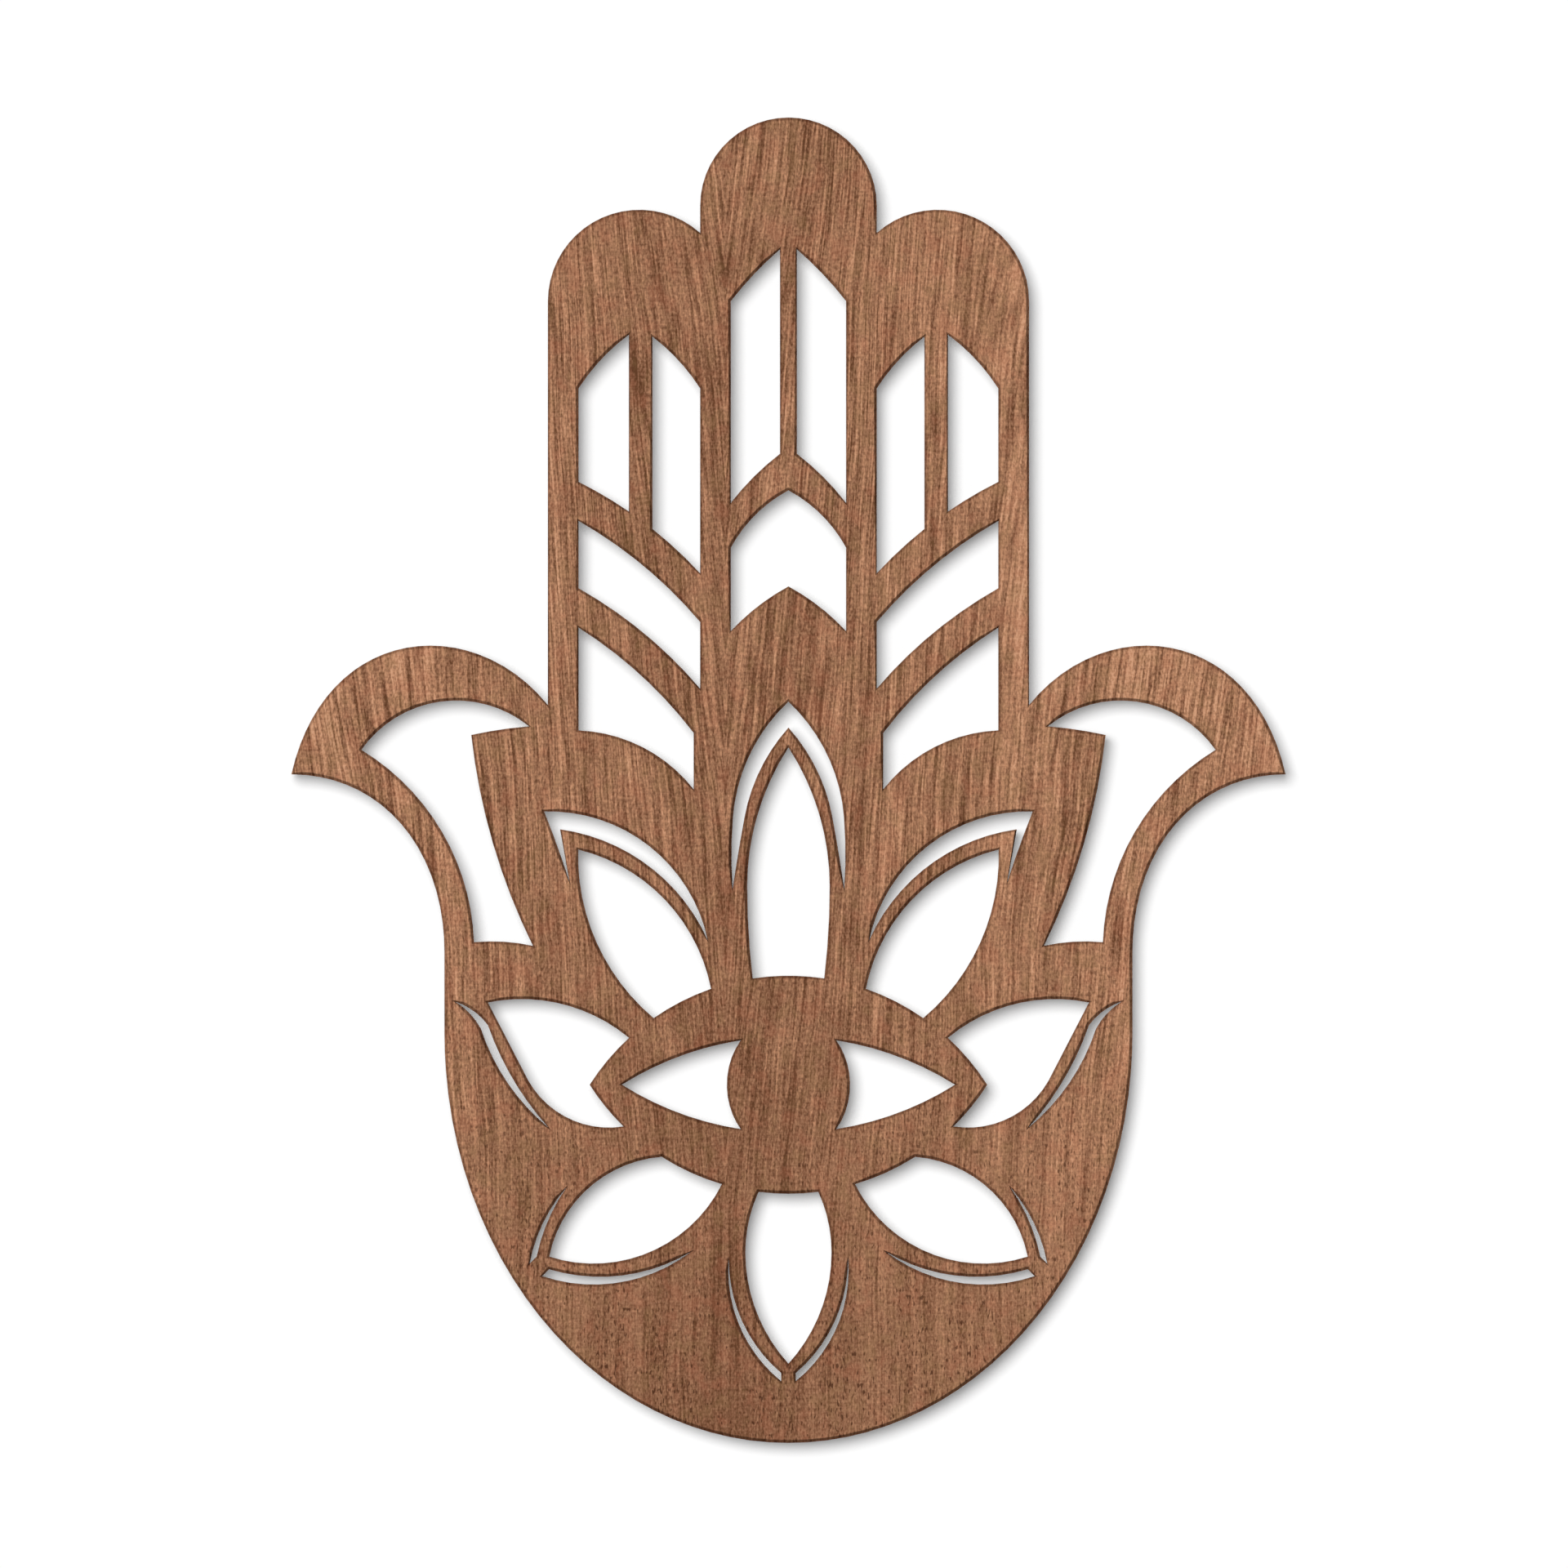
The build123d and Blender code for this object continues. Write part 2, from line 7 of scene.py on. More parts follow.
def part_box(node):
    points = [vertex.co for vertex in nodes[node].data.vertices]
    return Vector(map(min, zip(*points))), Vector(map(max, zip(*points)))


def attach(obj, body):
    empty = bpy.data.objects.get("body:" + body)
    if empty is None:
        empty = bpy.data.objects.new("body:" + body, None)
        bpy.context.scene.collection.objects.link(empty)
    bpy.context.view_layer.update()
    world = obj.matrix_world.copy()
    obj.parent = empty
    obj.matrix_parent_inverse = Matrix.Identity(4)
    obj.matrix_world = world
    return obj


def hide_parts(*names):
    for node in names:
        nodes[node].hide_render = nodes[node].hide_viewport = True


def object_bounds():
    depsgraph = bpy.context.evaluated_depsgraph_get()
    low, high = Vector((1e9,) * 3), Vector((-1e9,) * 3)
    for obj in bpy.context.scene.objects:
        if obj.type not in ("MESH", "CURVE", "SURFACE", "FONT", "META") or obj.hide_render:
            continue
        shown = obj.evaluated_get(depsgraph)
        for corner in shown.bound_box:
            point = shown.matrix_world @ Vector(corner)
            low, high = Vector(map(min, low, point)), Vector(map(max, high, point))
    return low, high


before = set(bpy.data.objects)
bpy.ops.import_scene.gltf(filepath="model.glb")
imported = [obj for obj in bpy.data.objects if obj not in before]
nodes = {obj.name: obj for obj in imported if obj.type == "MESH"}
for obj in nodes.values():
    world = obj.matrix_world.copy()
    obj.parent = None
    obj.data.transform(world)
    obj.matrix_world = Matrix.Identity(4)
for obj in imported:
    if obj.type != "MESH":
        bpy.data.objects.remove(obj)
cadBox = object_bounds()
scene = bpy.context.scene
mm = 0.001
print("frame in:", ", ".join(sorted(nodes)))


# helpers for node trees
def screen(colour):  # a 0-255 screen colour in the shader's own scale
    parts = [c / 255 for c in colour]
    return tuple(c / 12.92 if c < 0.04 else ((c + 0.055) / 1.055) ** 2.4 for c in parts) + (1.0,)


def plug(tree, socket, value):
    if isinstance(value, bpy.types.NodeSocket):
        tree.links.new(value, socket)
    else:
        socket.default_value = value


def put(tree, kind, inputs=None, **settings):
    node = tree.nodes.new("ShaderNode" + kind)
    for key, value in settings.items():
        setattr(node, key, value)
    for key, value in (inputs or {}).items():
        plug(tree, node.inputs[key], value)
    return node


def calc(tree, operation, *values, clamp=False):
    return put(tree, "Math", dict(enumerate(values)), operation=operation, use_clamp=clamp).outputs[0]


def plus(tree, first, *others):
    for other in others:
        first = calc(tree, "ADD", first, other)
    return first


def minus(tree, value, other):
    return calc(tree, "SUBTRACT", value, other)


def times(tree, value, other):
    return calc(tree, "MULTIPLY", value, other)


def largest(tree, first, *others):
    for other in others:
        first = calc(tree, "MAXIMUM", first, other)
    return first


def apart(tree, value, middle):  # how far a value is from a middle one
    return calc(tree, "ABSOLUTE", minus(tree, value, middle))


def split(tree, vector):
    return put(tree, "SeparateXYZ", {"Vector": vector}).outputs


def noise(tree, place, size, detail=2.0, rough=0.5, seed=(0.0, 0.0, 0.0)):  # size: mm per cell
    spread = put(tree, "Mapping", {"Vector": place, "Scale": [1 / s for s in size], "Location": seed})
    return put(tree, "TexNoise", {"Vector": spread.outputs[0], "Scale": 1.0, "Detail": detail,
                                  "Roughness": rough}).outputs["Fac"]


def ease(tree, value, low, high, toLow=0.0, toHigh=1.0, kind="SMOOTHSTEP"):
    return put(tree, "MapRange", {"Value": value, "From Min": low, "From Max": high,
                                  "To Min": toLow, "To Max": toHigh}, interpolation_type=kind).outputs[0]


def straight(tree, value, low, high, toLow, toHigh):
    return ease(tree, value, low, high, toLow, toHigh, "LINEAR")


def tint(tree, factor, under, over):
    return put(tree, "Mix", {0: factor, 6: under, 7: over}, data_type="RGBA").outputs[2]  # its colour sockets


def ramp(tree, value, stops):
    node = put(tree, "ValToRGB", {"Fac": value})
    bar = node.color_ramp
    while len(bar.elements) < len(stops):
        bar.elements.new(0.5)
    for element, (spot, colour) in zip(bar.elements, stops):
        element.position = spot
        element.color = colour
    return node.outputs["Color"]


def newGroup(name, inputs, outputs):
    tree = bpy.data.node_groups.new(name, "ShaderNodeTree")
    for label, kind in inputs.items():
        tree.interface.new_socket(label, in_out="INPUT", socket_type="NodeSocket" + kind)
    for label, kind in outputs.items():
        tree.interface.new_socket(label, in_out="OUTPUT", socket_type="NodeSocket" + kind)
    return tree, tree.nodes.new("NodeGroupInput").outputs, tree.nodes.new("NodeGroupOutput").inputs


def useGroup(tree, group, inputs):
    return put(tree, "Group", inputs, node_tree=group).outputs


def newMaterial(name):
    material = bpy.data.materials.new(name)
    material.use_nodes = True
    material.node_tree.nodes.clear()
    return material, material.node_tree


def newFinish(name, constants):
    material, tree = newMaterial(name)
    shader = put(tree, "BsdfPrincipled", constants)
    put(tree, "OutputMaterial", {"Surface": shader.outputs[0]})
    place = put(tree, "TexCoord").outputs["Object"]
    inMm = put(tree, "VectorMath", {0: place, "Scale": 1 / mm}, operation="SCALE").outputs[0]
    return material, tree, shader, inMm


def setFinish(tree, shader, colour, roughness, height, bump, under=None):  # bump: strength, mm deep
    strength, depth = bump
    relief = put(tree, "Bump", {"Height": height, "Strength": strength, "Distance": depth * mm})
    if under:
        plug(tree, relief.inputs["Normal"], under)
    plug(tree, shader.inputs["Base Color"], colour)
    plug(tree, shader.inputs["Roughness"], roughness)
    plug(tree, shader.inputs["Normal"], relief.outputs[0])


def newPiece(name, bm):
    mesh = bpy.data.meshes.new(name)
    bm.to_mesh(mesh)
    bm.free()
    piece = bpy.data.objects.new(name, mesh)
    scene.collection.objects.link(piece)
    return piece


def dress(piece, material):
    piece.data.materials.clear()
    piece.data.materials.append(material)


# grain of the sliced veneer, in mm; a layer's size is across the fibres and along them
veneerGrain = {
    "seam": -19.0,  # the two leaves are book-matched here, from the middle line
    "fan": {"foot": -330.0, "settle": 60.0, "slope": 0.115},  # from the foot up the fibres lean out
    "calm": (25.0, 62.0, 1.0, 0.5),  # distance from the seam, share of the lean left there
    "flare": (66.0, 125.0, 0.0, 0.65),  # and what comes back further out
    "through": 40.0,  # size of a layer through the sheet
    "step": (1.0, 0.7, 1.3),  # a seed shifts its layer this way
    "drift": {"size": (110.0, 75.0), "detail": 1.0, "rough": 0.50, "seed": 3.1, "weight": 6.0},  # mm aside
    "waver": {"size": (30.0, 26.0), "detail": 1.0, "rough": 0.50, "seed": 7.4, "weight": 1.3},  # mm aside
    "bands": {"size": (12.0, 200.0), "detail": 3.0, "rough": 0.55, "seed": 11.2, "weight": 0.42},  # of tone
    "streaks": {"size": (2.6, 70.0), "detail": 2.0, "rough": 0.60, "seed": 17.9, "weight": 0.75},
    "lines": {"size": (3.4, 140.0), "detail": 2.0, "rough": 0.50, "seed": 19.3, "weight": 0.22,
              "thin": 0.045},  # dark lines that run for centimetres
    "fibres": {"size": (0.74, 17.0), "detail": 1.0, "rough": 0.60, "seed": 23.5, "weight": 1.65},
    "flecks": {"size": (0.58, 1.20), "detail": 1.0, "rough": 0.60, "seed": 31.7, "weight": 1.15,
               "raised": 0.6},  # their share in the relief
    "weave": {"size": (2.6, 0.50), "detail": 1.0, "rough": 0.50, "seed": 41.3, "weight": 0.36},
    "pores": {"size": (0.52, 1.9), "detail": 0.0, "rough": 0.40, "seed": 53.0,
              "opens": 0.665, "soft": 0.08},  # where a dash starts to open
    "crowding": {"size": (9.0, 60.0), "detail": 2.0, "rough": 0.50, "seed": 59.0, "weight": 0.40},  # of pores
    "redness": {"size": (5.0, 6.0), "detail": 2.0, "rough": 0.50, "seed": 67.0, "reach": 0.20},
}
half = 0.5  # middle of a noise, of a tone and of a redness


def buildGrain():
    tree, given, gives = newGroup(
        "veneerGrain", {"Place": "Vector", "Figure": "Float", "Fibre": "Float", "Fleck": "Float"},
        {"Tone": "Float", "Pore": "Float", "Redness": "Float", "Relief": "Float"})

    def layer(name, where):
        plan = veneerGrain[name]
        across, along = plan["size"]
        cell = (across, veneerGrain["through"], along)
        shift = [plan["seed"] * s for s in veneerGrain["step"]]
        return noise(tree, where, cell, plan["detail"], plan["rough"], shift)

    def swing(name, value):  # a layer about zero, at its weight
        return times(tree, minus(tree, value, half), veneerGrain[name]["weight"])

    place = given["Place"]
    axes = split(tree, place)
    fan = veneerGrain["fan"]
    above = largest(tree, minus(tree, axes["Z"], fan["foot"]), 0.0)
    bend = calc(tree, "DIVIDE", calc(tree, "POWER", above, 2.0), plus(tree, above, fan["settle"]))
    fromSeam = apart(tree, axes["X"], veneerGrain["seam"])
    calm = ease(tree, fromSeam, *veneerGrain["calm"])
    share = plus(tree, calm, ease(tree, fromSeam, *veneerGrain["flare"]))
    leaf = minus(tree, fromSeam, times(tree, times(tree, bend, fan["slope"]), share))
    drift = swing("drift", layer("drift", place))
    waver = swing("waver", layer("waver", place))
    across = plus(tree, leaf, drift, waver)
    bent = put(tree, "CombineXYZ", {"X": across, "Y": axes["Y"], "Z": axes["Z"]}).outputs[0]

    bands = swing("bands", layer("bands", bent))
    ridge = apart(tree, layer("lines", bent), half)
    lines = ease(tree, ridge, 0.0, veneerGrain["lines"]["thin"], -veneerGrain["lines"]["weight"], 0.0)
    figure = times(tree, plus(tree, bands, lines), given["Figure"])
    fibres = layer("fibres", bent)
    streaks = swing("streaks", layer("streaks", bent))
    lengthwise = times(tree, plus(tree, swing("fibres", fibres), streaks), given["Fibre"])
    flecks = layer("flecks", place)
    weave = swing("weave", layer("weave", place))
    short = times(tree, plus(tree, swing("flecks", flecks), weave), given["Fleck"])

    crowded = plus(tree, layer("pores", place), swing("crowding", layer("crowding", bent)))
    opens, soft = veneerGrain["pores"]["opens"], veneerGrain["pores"]["soft"]
    pore = ease(tree, crowded, opens, opens + soft)
    raised = plus(tree, fibres, times(tree, flecks, veneerGrain["flecks"]["raised"]))
    plug(tree, gives["Tone"], plus(tree, figure, half, lengthwise, short))
    plug(tree, gives["Pore"], pore)
    plug(tree, gives["Redness"], layer("redness", place))
    plug(tree, gives["Relief"], minus(tree, raised, pore))
    return tree


# the laser's scorch along a cut: how ragged its inner side is
scorch = {"ragged": {"size": (0.9, 0.9, 1.6), "seed": (5.0, 9.0, 2.0)}, "soft": 0.35}


def buildScorch():
    tree, given, gives = newGroup("cutScorch", {"Place": "Vector", "Burn": "Float"}, {"Mask": "Float"})
    ragged = noise(tree, given["Place"], **scorch["ragged"])
    uneven = times(tree, minus(tree, ragged, half), scorch["soft"])
    plug(tree, gives["Mask"], calc(tree, "MULTIPLY_ADD", uneven, given["Burn"], given["Burn"], clamp=True))
    return tree


grainGroup, scorchGroup = buildGrain(), buildScorch()
print("shared grain and scorch groups built")

# veneer sheets with an eased, burnt rim: each ring is mm in from the cut, mm up, burn left
faceSheet = {
    "cut": 0.48,  # burn on the cut itself
    "rings": ((0.10, 0.05, 0.48), (0.18, 0.13, 0.47), (0.20, 0.15, 0.42), (0.20, 0.12, 0.28),
              (0.14, 0.04, 0.12), (0.14, 0.0, 0.0)),
    "dark": (96, 61, 39), "low": (128, 87, 63), "mid": (157, 113, 85), "high": (186, 134, 101),
    "light": (210, 158, 124),
    "pore": (74, 43, 26), "char": (58, 20, 5), "rosy": (172, 104, 78), "olive": (140, 110, 72),
    "heart": (8.0, 100.0, -0.10, 0.09),  # mm from the seam, tone added there
    "foot": (-400.0, -150.0, -0.09, 0.03),  # height in mm, tone added there
    "climb": (-400.0, -190.0),  # heights in mm between which the next four change
    "figure": (0.62, 1.00), "fibre": (0.32, 0.82), "fleck": (0.88, 1.00), "pores": (0.85, 0.35),
    "lively": (70.0, 115.0, 0.0, 0.12),  # mm from the middle line, grain added there
    "hues": 0.22,  # most that the rosy and olive patches cover
    "roughness": (0.80, 0.58),  # in the dark, in the light
    "bump": (0.35, 0.08), "lip": 0.60,  # mm burnt away at a cut
}
backSheet = {
    "cut": 1.0,
    "rings": ((0.06, 0.09, 0.95), (0.12, 0.05, 0.80), (0.25, 0.0, 0.45), (0.55, 0.0, 0.0)),
    "dark": (128, 92, 64), "low": (156, 117, 86), "mid": (173, 133, 100), "high": (187, 147, 113),
    "light": (206, 167, 134),
    "pore": (112, 78, 54), "char": (70, 45, 31), "rosy": (186, 134, 104), "olive": (172, 142, 100),
    "heart": (8.0, 100.0, -0.05, 0.05),
    "foot": (-400.0, -150.0, -0.03, 0.02),
    "climb": (-400.0, -190.0),
    "figure": (0.80, 0.80), "fibre": (0.62, 0.62), "fleck": (0.60, 0.60), "pores": (0.60, 0.60),
    "lively": (70.0, 115.0, 0.0, 0.0),
    "hues": 0.20,
    "roughness": (0.86, 0.66),
    "bump": (0.4, 0.08), "lip": 0.15,
}
veneerShine = {"IOR": 1.45, "Specular IOR Level": 0.03}
sheetMesh = {"merge": 1e-6, "facing": 0.99, "hidden": -0.5, "sharp": 50}  # m, normals, degrees


def pointsOf(faces):
    return {v for f in faces for v in f.verts}


def hiddenSide(faces, outward):  # how many faces look to the side that does not show
    return sum(f.normal.y * outward < sheetMesh["hidden"] for f in faces)


def easedSheet(name, node, outward, plan):  # outward: the side that shows, -1 front, 1 back
    bm = bmesh.new()
    bm.from_mesh(nodes[node].data)
    bmesh.ops.remove_doubles(bm, verts=bm.verts, dist=sheetMesh["merge"])
    bm.normal_update()
    burn = bm.verts.layers.float.new("burn")
    for v in bm.verts:
        v[burn] = plan["cut"]
    skin = [f for f in bm.faces if f.normal.y * outward > sheetMesh["facing"]]
    sunk = sum(up for across, up, left in plan["rings"]) * mm
    bmesh.ops.translate(bm, verts=list(pointsOf(skin)), vec=(0, -outward * sunk, 0))
    for across, up, left in plan["rings"]:
        bmesh.ops.inset_region(bm, faces=skin, use_boundary=True, use_even_offset=False,
                               thickness=across * mm, depth=up * mm)
        for v in pointsOf(skin):
            v[burn] = left
    inner = set(skin)
    lip = [e for e in {e for f in skin for e in f.edges} if any(f not in inner for f in e.link_faces)]
    bmesh.ops.delete(bm, geom=skin, context="FACES")
    bmesh.ops.triangle_fill(bm, use_beauty=True, edges=lip, normal=(0, outward, 0))
    bmesh.ops.recalc_face_normals(bm, faces=bm.faces)
    for f in bm.faces:
        f.smooth = True
    for e in bm.edges:
        e.smooth = not (e.is_manifold and e.calc_face_angle() > math.radians(sheetMesh["sharp"]))
    openEdges = sum(not e.is_manifold for e in bm.edges)
    turned = hiddenSide(bm.faces, outward) - hiddenSide(nodes[node].data.polygons, outward)
    print(name, "faces", len(bm.faces), "open edges", openEdges, "turned faces", turned)
    return newPiece(name, bm)


def veneerMaterial(name, plan):
    material, tree, shader, place = newFinish(name, veneerShine)
    axes = split(tree, place)

    def climbing(key):
        return ease(tree, axes["Z"], *plan["climb"], *plan[key])

    lively = ease(tree, calc(tree, "ABSOLUTE", axes["X"]), *plan["lively"])
    grain = useGroup(tree, grainGroup, {
        "Place": place, "Figure": climbing("figure"), "Fibre": plus(tree, climbing("fibre"), lively),
        "Fleck": plus(tree, climbing("fleck"), lively)})
    heart = ease(tree, apart(tree, axes["X"], veneerGrain["seam"]), *plan["heart"])
    foot = ease(tree, axes["Z"], *plan["foot"])
    tone = calc(tree, "ADD", grain["Tone"], plus(tree, heart, foot), clamp=True)
    shades = ("dark", "low", "mid", "high", "light")
    colour = ramp(tree, tone, [(i / (len(shades) - 1), screen(plan[s])) for i, s in enumerate(shades)])
    reach = veneerGrain["redness"]["reach"]
    for hue, end in (("rosy", half + reach), ("olive", half - reach)):
        patch = ease(tree, grain["Redness"], half, end, 0.0, plan["hues"])
        colour = tint(tree, patch, colour, screen(plan[hue]))
    colour = tint(tree, times(tree, grain["Pore"], climbing("pores")), colour, screen(plan["pore"]))
    burn = put(tree, "Attribute", attribute_name="burn", attribute_type="GEOMETRY").outputs["Fac"]
    mask = useGroup(tree, scorchGroup, {"Place": place, "Burn": burn})["Mask"]
    colour = tint(tree, mask, colour, screen(plan["char"]))
    roughness = straight(tree, tone, 0.0, 1.0, *plan["roughness"])
    lip = put(tree, "Bump", {"Height": burn, "Strength": 1.0, "Distance": plan["lip"] * mm}, invert=True)
    setFinish(tree, shader, colour, roughness, grain["Relief"], plan["bump"], lip.outputs[0])
    return material


def layVeneer(name, node, outward, stain, plan):
    piece = easedSheet(name, node, outward, plan)
    dress(piece, veneerMaterial(stain, plan))
    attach(piece, "panel")
    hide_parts(node)


layVeneer("walnutFace", "face_veneer", -1, "stainedWalnut", faceSheet)
layVeneer("plainBack", "back_veneer", 1, "rawBack", backSheet)
print("veneers eased and stained")

# the board between: only its burnt edges show
coreEdge = {
    "char": (52, 32, 22), "ply": (104, 70, 48), "glue": (30, 19, 13),
    "shine": {"IOR": 1.45, "Specular IOR Level": 0.06},
    "plies": 1.6, "glueLine": 0.12,  # mm
    "beam": {"size": (0.55, 9.0, 0.55), "detail": 3.0, "rough": 0.6, "seed": (2.0, 4.0, 6.0)},
    "charred": (0.30, 0.72),  # streaks that the beam leaves through the board: all char, all ply
    "grain": {"Figure": 0.6, "Fibre": 0.8, "Fleck": 0.8},
    "poreTint": 0.4, "glueTint": 0.75,
    "polish": (0.3, 0.7), "roughness": (0.85, 0.62),
    "glueSunk": 0.4, "bump": (0.4, 0.1),
}


def coreMaterial(plan):
    material, tree, shader, place = newFinish("scorchedBoard", plan["shine"])
    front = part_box("core_board")[0].y / mm
    beam = noise(tree, place, **plan["beam"])
    grain = useGroup(tree, grainGroup, {"Place": place, **plan["grain"]})
    deep = minus(tree, split(tree, place)["Y"], front)
    inPly = calc(tree, "FRACT", calc(tree, "DIVIDE", deep, plan["plies"]))
    edge = calc(tree, "MINIMUM", inPly, minus(tree, 1.0, inPly))
    glue = ease(tree, edge, 0.0, plan["glueLine"] / plan["plies"], 1.0, 0.0)
    allChar, allPly = plan["charred"]
    colour = ramp(tree, beam, [(allChar, screen(plan["char"])), (allPly, screen(plan["ply"]))])
    for mask, amount in ((grain["Pore"], plan["poreTint"]), (glue, plan["glueTint"])):
        colour = tint(tree, times(tree, mask, amount), colour, screen(plan["glue"]))
    roughness = straight(tree, beam, *plan["polish"], *plan["roughness"])
    height = minus(tree, beam, times(tree, glue, plan["glueSunk"]))
    setFinish(tree, shader, colour, roughness, height, plan["bump"])
    return material


dress(nodes["core_board"], coreMaterial(coreEdge))
print("board edge scorched")

# plated steel of the hanger
zincPlating = {
    "clouds": {"size": (1.0, 1.0, 1.0), "detail": 4.0, "rough": 0.6, "seed": (8.0, 1.0, 3.0)},
    "cloudy": (0.32, 0.68),  # from dull to bright
    "scratches": {"size": (2.6, 1.4, 0.16), "seed": (1.0, 6.0, 2.0)},
    "scuff": (0.58, 0.72), "dent": 0.5, "dulled": 0.12,  # where scratches show, and what they do
    "specks": {"size": (0.22, 0.22, 0.22), "detail": 1.0},
    "bump": (0.15, 0.03),
}
platedParts = {  # tints, roughness where it is dull and bright, mm of a cloud
    "hanger_strap": {"bright": (205, 206, 204), "dull": (164, 163, 158),
                     "roughness": (0.44, 0.26), "cloud": 2.4},
    "hanger_ring": {"bright": (212, 213, 212), "dull": (172, 172, 168),
                    "roughness": (0.36, 0.20), "cloud": 3.0},
    "hanger_screws": {"bright": (200, 196, 182), "dull": (158, 150, 130),
                      "roughness": (0.48, 0.30), "cloud": 1.6},
}


def buildPlating(plan):
    tree, given, gives = newGroup("zincPlating", {"Place": "Vector", "Cloud": "Float"},
                                  {"Cloudy": "Float", "Scuff": "Float", "Relief": "Float"})
    sized = put(tree, "VectorMath", {0: given["Place"], 1: given["Cloud"]}, operation="DIVIDE").outputs[0]
    clouds = noise(tree, sized, **plan["clouds"])
    scuff = ease(tree, noise(tree, given["Place"], **plan["scratches"]), *plan["scuff"])
    specks = noise(tree, given["Place"], **plan["specks"])
    plug(tree, gives["Cloudy"], ease(tree, clouds, *plan["cloudy"]))
    plug(tree, gives["Scuff"], scuff)
    plug(tree, gives["Relief"], minus(tree, specks, times(tree, scuff, plan["dent"])))
    return tree


platingGroup = buildPlating(zincPlating)


def platedMaterial(name, plan):
    material, tree, shader, place = newFinish(name, {"Metallic": 1.0})
    plating = useGroup(tree, platingGroup, {"Place": place, "Cloud": plan["cloud"]})
    colour = tint(tree, plating["Cloudy"], screen(plan["dull"]), screen(plan["bright"]))
    roughness = straight(tree, plating["Cloudy"], 0.0, 1.0, *plan["roughness"])
    roughness = plus(tree, roughness, times(tree, plating["Scuff"], zincPlating["dulled"]))
    setFinish(tree, shader, colour, roughness, plating["Relief"], zincPlating["bump"])
    return material


for name, plan in platedParts.items():
    dress(nodes[name], platedMaterial("plated_" + name, plan))
print("hanger plated")

# soft bumpers
bumperRubber = {
    "body": (46, 44, 42), "bloom": (78, 75, 71),
    "shine": {"IOR": 1.5, "Specular IOR Level": 0.4},
    "mottle": {"size": (2.2, 2.2, 2.2), "detail": 4.0, "rough": 0.6},
    "bloomed": (0.38, 0.70),  # from body to bloom
    "matt": (0.3, 0.7), "roughness": (0.62, 0.84),
    "skin": {"size": (0.18, 0.18, 0.18)}, "bump": (0.25, 0.05),
}


def rubberMaterial(plan):
    material, tree, shader, place = newFinish("bumperRubber", plan["shine"])
    mottled = noise(tree, place, **plan["mottle"])
    bloom = ease(tree, mottled, *plan["bloomed"])
    colour = tint(tree, bloom, screen(plan["body"]), screen(plan["bloom"]))
    roughness = straight(tree, mottled, *plan["matt"], *plan["roughness"])
    setFinish(tree, shader, colour, roughness, noise(tree, place, **plan["skin"]), plan["bump"])
    return material


rubber = rubberMaterial(bumperRubber)
for name in ("bumper_left", "bumper_right"):
    dress(nodes[name], rubber)
print("bumpers done")

# the wall behind, seen from the front only
wall = {"half": 1.6, "gap": 0.0002, "height": -0.2, "colour": (1.0, 1.0, 1.0, 1.0)}  # m


def buildWall(plan):
    bm = bmesh.new()
    bmesh.ops.create_grid(bm, x_segments=1, y_segments=1, size=plan["half"])
    bmesh.ops.rotate(bm, verts=bm.verts, cent=(0, 0, 0), matrix=Matrix.Rotation(math.radians(90), 3, "X"))
    bmesh.ops.translate(bm, verts=bm.verts, vec=(0, plan["gap"], plan["height"]))
    piece = newPiece("wall", bm)
    material, tree = newMaterial("paleWall")
    rays = put(tree, "LightPath").outputs
    behind = put(tree, "NewGeometry").outputs["Backfacing"]
    mirrored = largest(tree, rays["Is Glossy Ray"], rays["Is Transmission Ray"])
    passing = largest(tree, behind, rays["Is Shadow Ray"], mirrored)
    paint = put(tree, "BsdfDiffuse", {"Color": plan["colour"]}).outputs[0]
    clear = put(tree, "BsdfTransparent").outputs[0]
    both = put(tree, "MixShader", {0: passing, 1: paint, 2: clear}).outputs[0]
    put(tree, "OutputMaterial", {"Surface": both})
    piece.data.materials.append(material)


buildWall(wall)

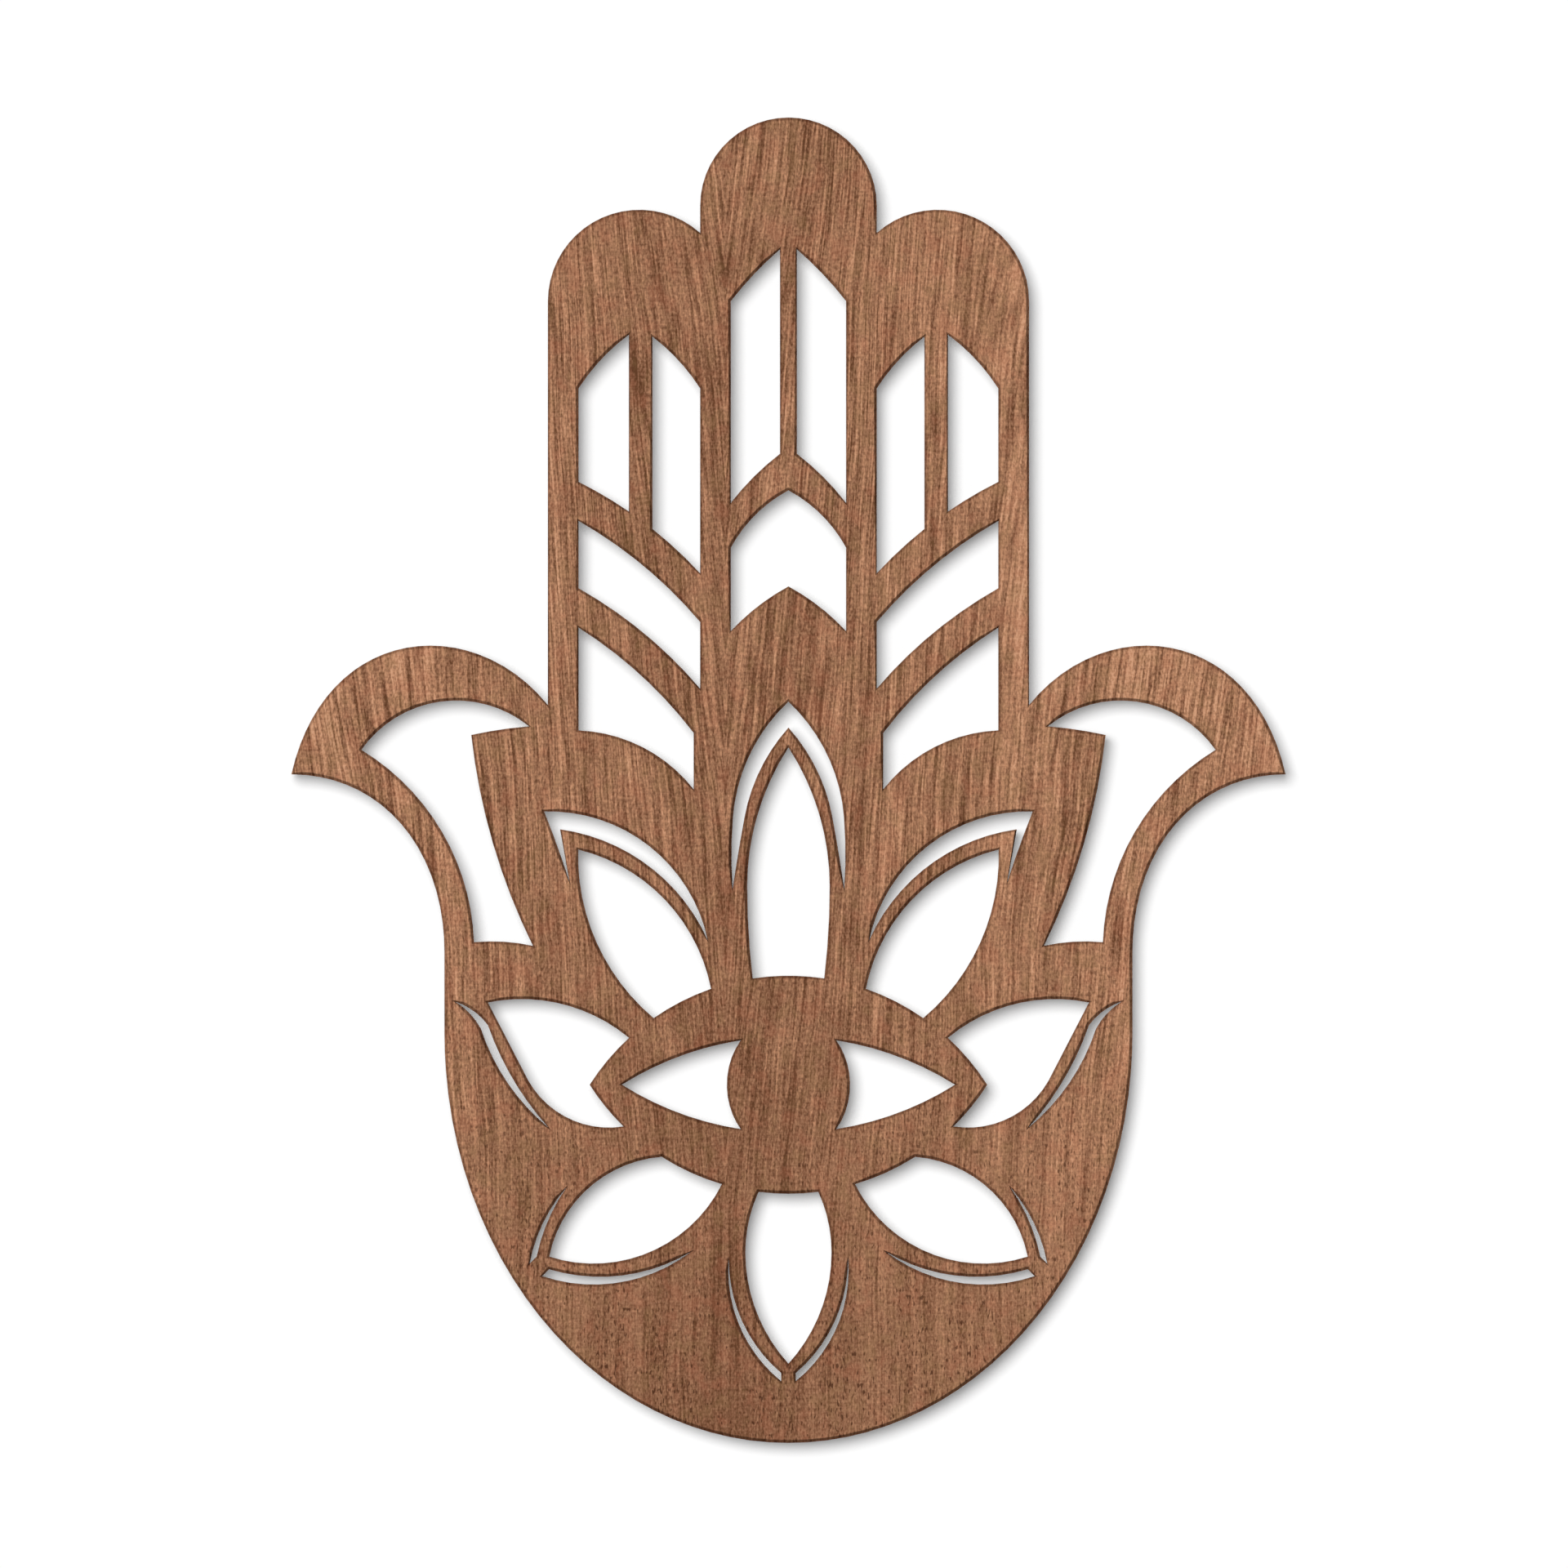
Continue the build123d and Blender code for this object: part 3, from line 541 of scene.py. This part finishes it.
# soft key from the upper left, a fill that keeps its shadow pale, and two lamps behind for the back
lights = {
    "key": {"towards": (0.198, 1.0, -0.198), "energy": 2.36, "spread": 31, "shadow": True},
    "fill": {"towards": (0.58, 0.65, -0.49), "energy": 1.29, "spread": 30, "shadow": False},
    "backRight": {"towards": (-0.7, -0.8, -0.45), "energy": 1.9, "spread": 40, "shadow": True},
    "backLeft": {"towards": (0.8, -0.7, -0.15), "energy": 1.3, "spread": 40, "shadow": True},
}
for name, plan in lights.items():
    lamp = bpy.data.lights.new(name, "SUN")
    lamp.energy = plan["energy"]
    lamp.angle = math.radians(plan["spread"])
    lamp.use_shadow = plan["shadow"]
    lamp.cycles.max_bounces = 0  # lights what it reaches and nothing beyond
    holder = bpy.data.objects.new(name, lamp)
    holder.rotation_euler = Vector(plan["towards"]).to_track_quat("-Z", "Y").to_euler()
    scene.collection.objects.link(holder)

# white where it is seen or mirrored, and a little light all round
studio = {"colour": (1.0, 1.0, 1.0, 1.0), "seen": 1.0, "ambient": 0.03}
scene.world = bpy.data.worlds.new("studio")
scene.world.use_nodes = True
sky = scene.world.node_tree
sky.nodes.clear()
rays = put(sky, "LightPath").outputs
seen = largest(sky, rays["Is Camera Ray"], rays["Is Glossy Ray"], rays["Is Transmission Ray"])
level = straight(sky, seen, 0.0, 1.0, studio["ambient"], studio["seen"])
backdrop = put(sky, "Background", {"Color": studio["colour"], "Strength": level}).outputs[0]
put(sky, "OutputWorld", {"Surface": backdrop})
scene.view_settings.view_transform = "Standard"
print("wall, lamps and world set")

# straight-on camera with a long lens: m from the wall, mm right of and above the hand's middle
camera = {"distance": 15.782, "right": -1.34, "up": -1.14, "lens": 1200, "sensor": 36}
middle = (cadBox[0] + cadBox[1]) / 2
glass = bpy.data.cameras.new("camera")
glass.lens = camera["lens"]
glass.sensor_width = camera["sensor"]
holder = bpy.data.objects.new("camera", glass)
holder.location = (middle.x + camera["right"] * mm, -camera["distance"], middle.z + camera["up"] * mm)
holder.rotation_euler = (math.radians(90), 0, 0)
scene.collection.objects.link(holder)
scene.camera = holder
print("camera placed")

bpy.context.view_layer.update()
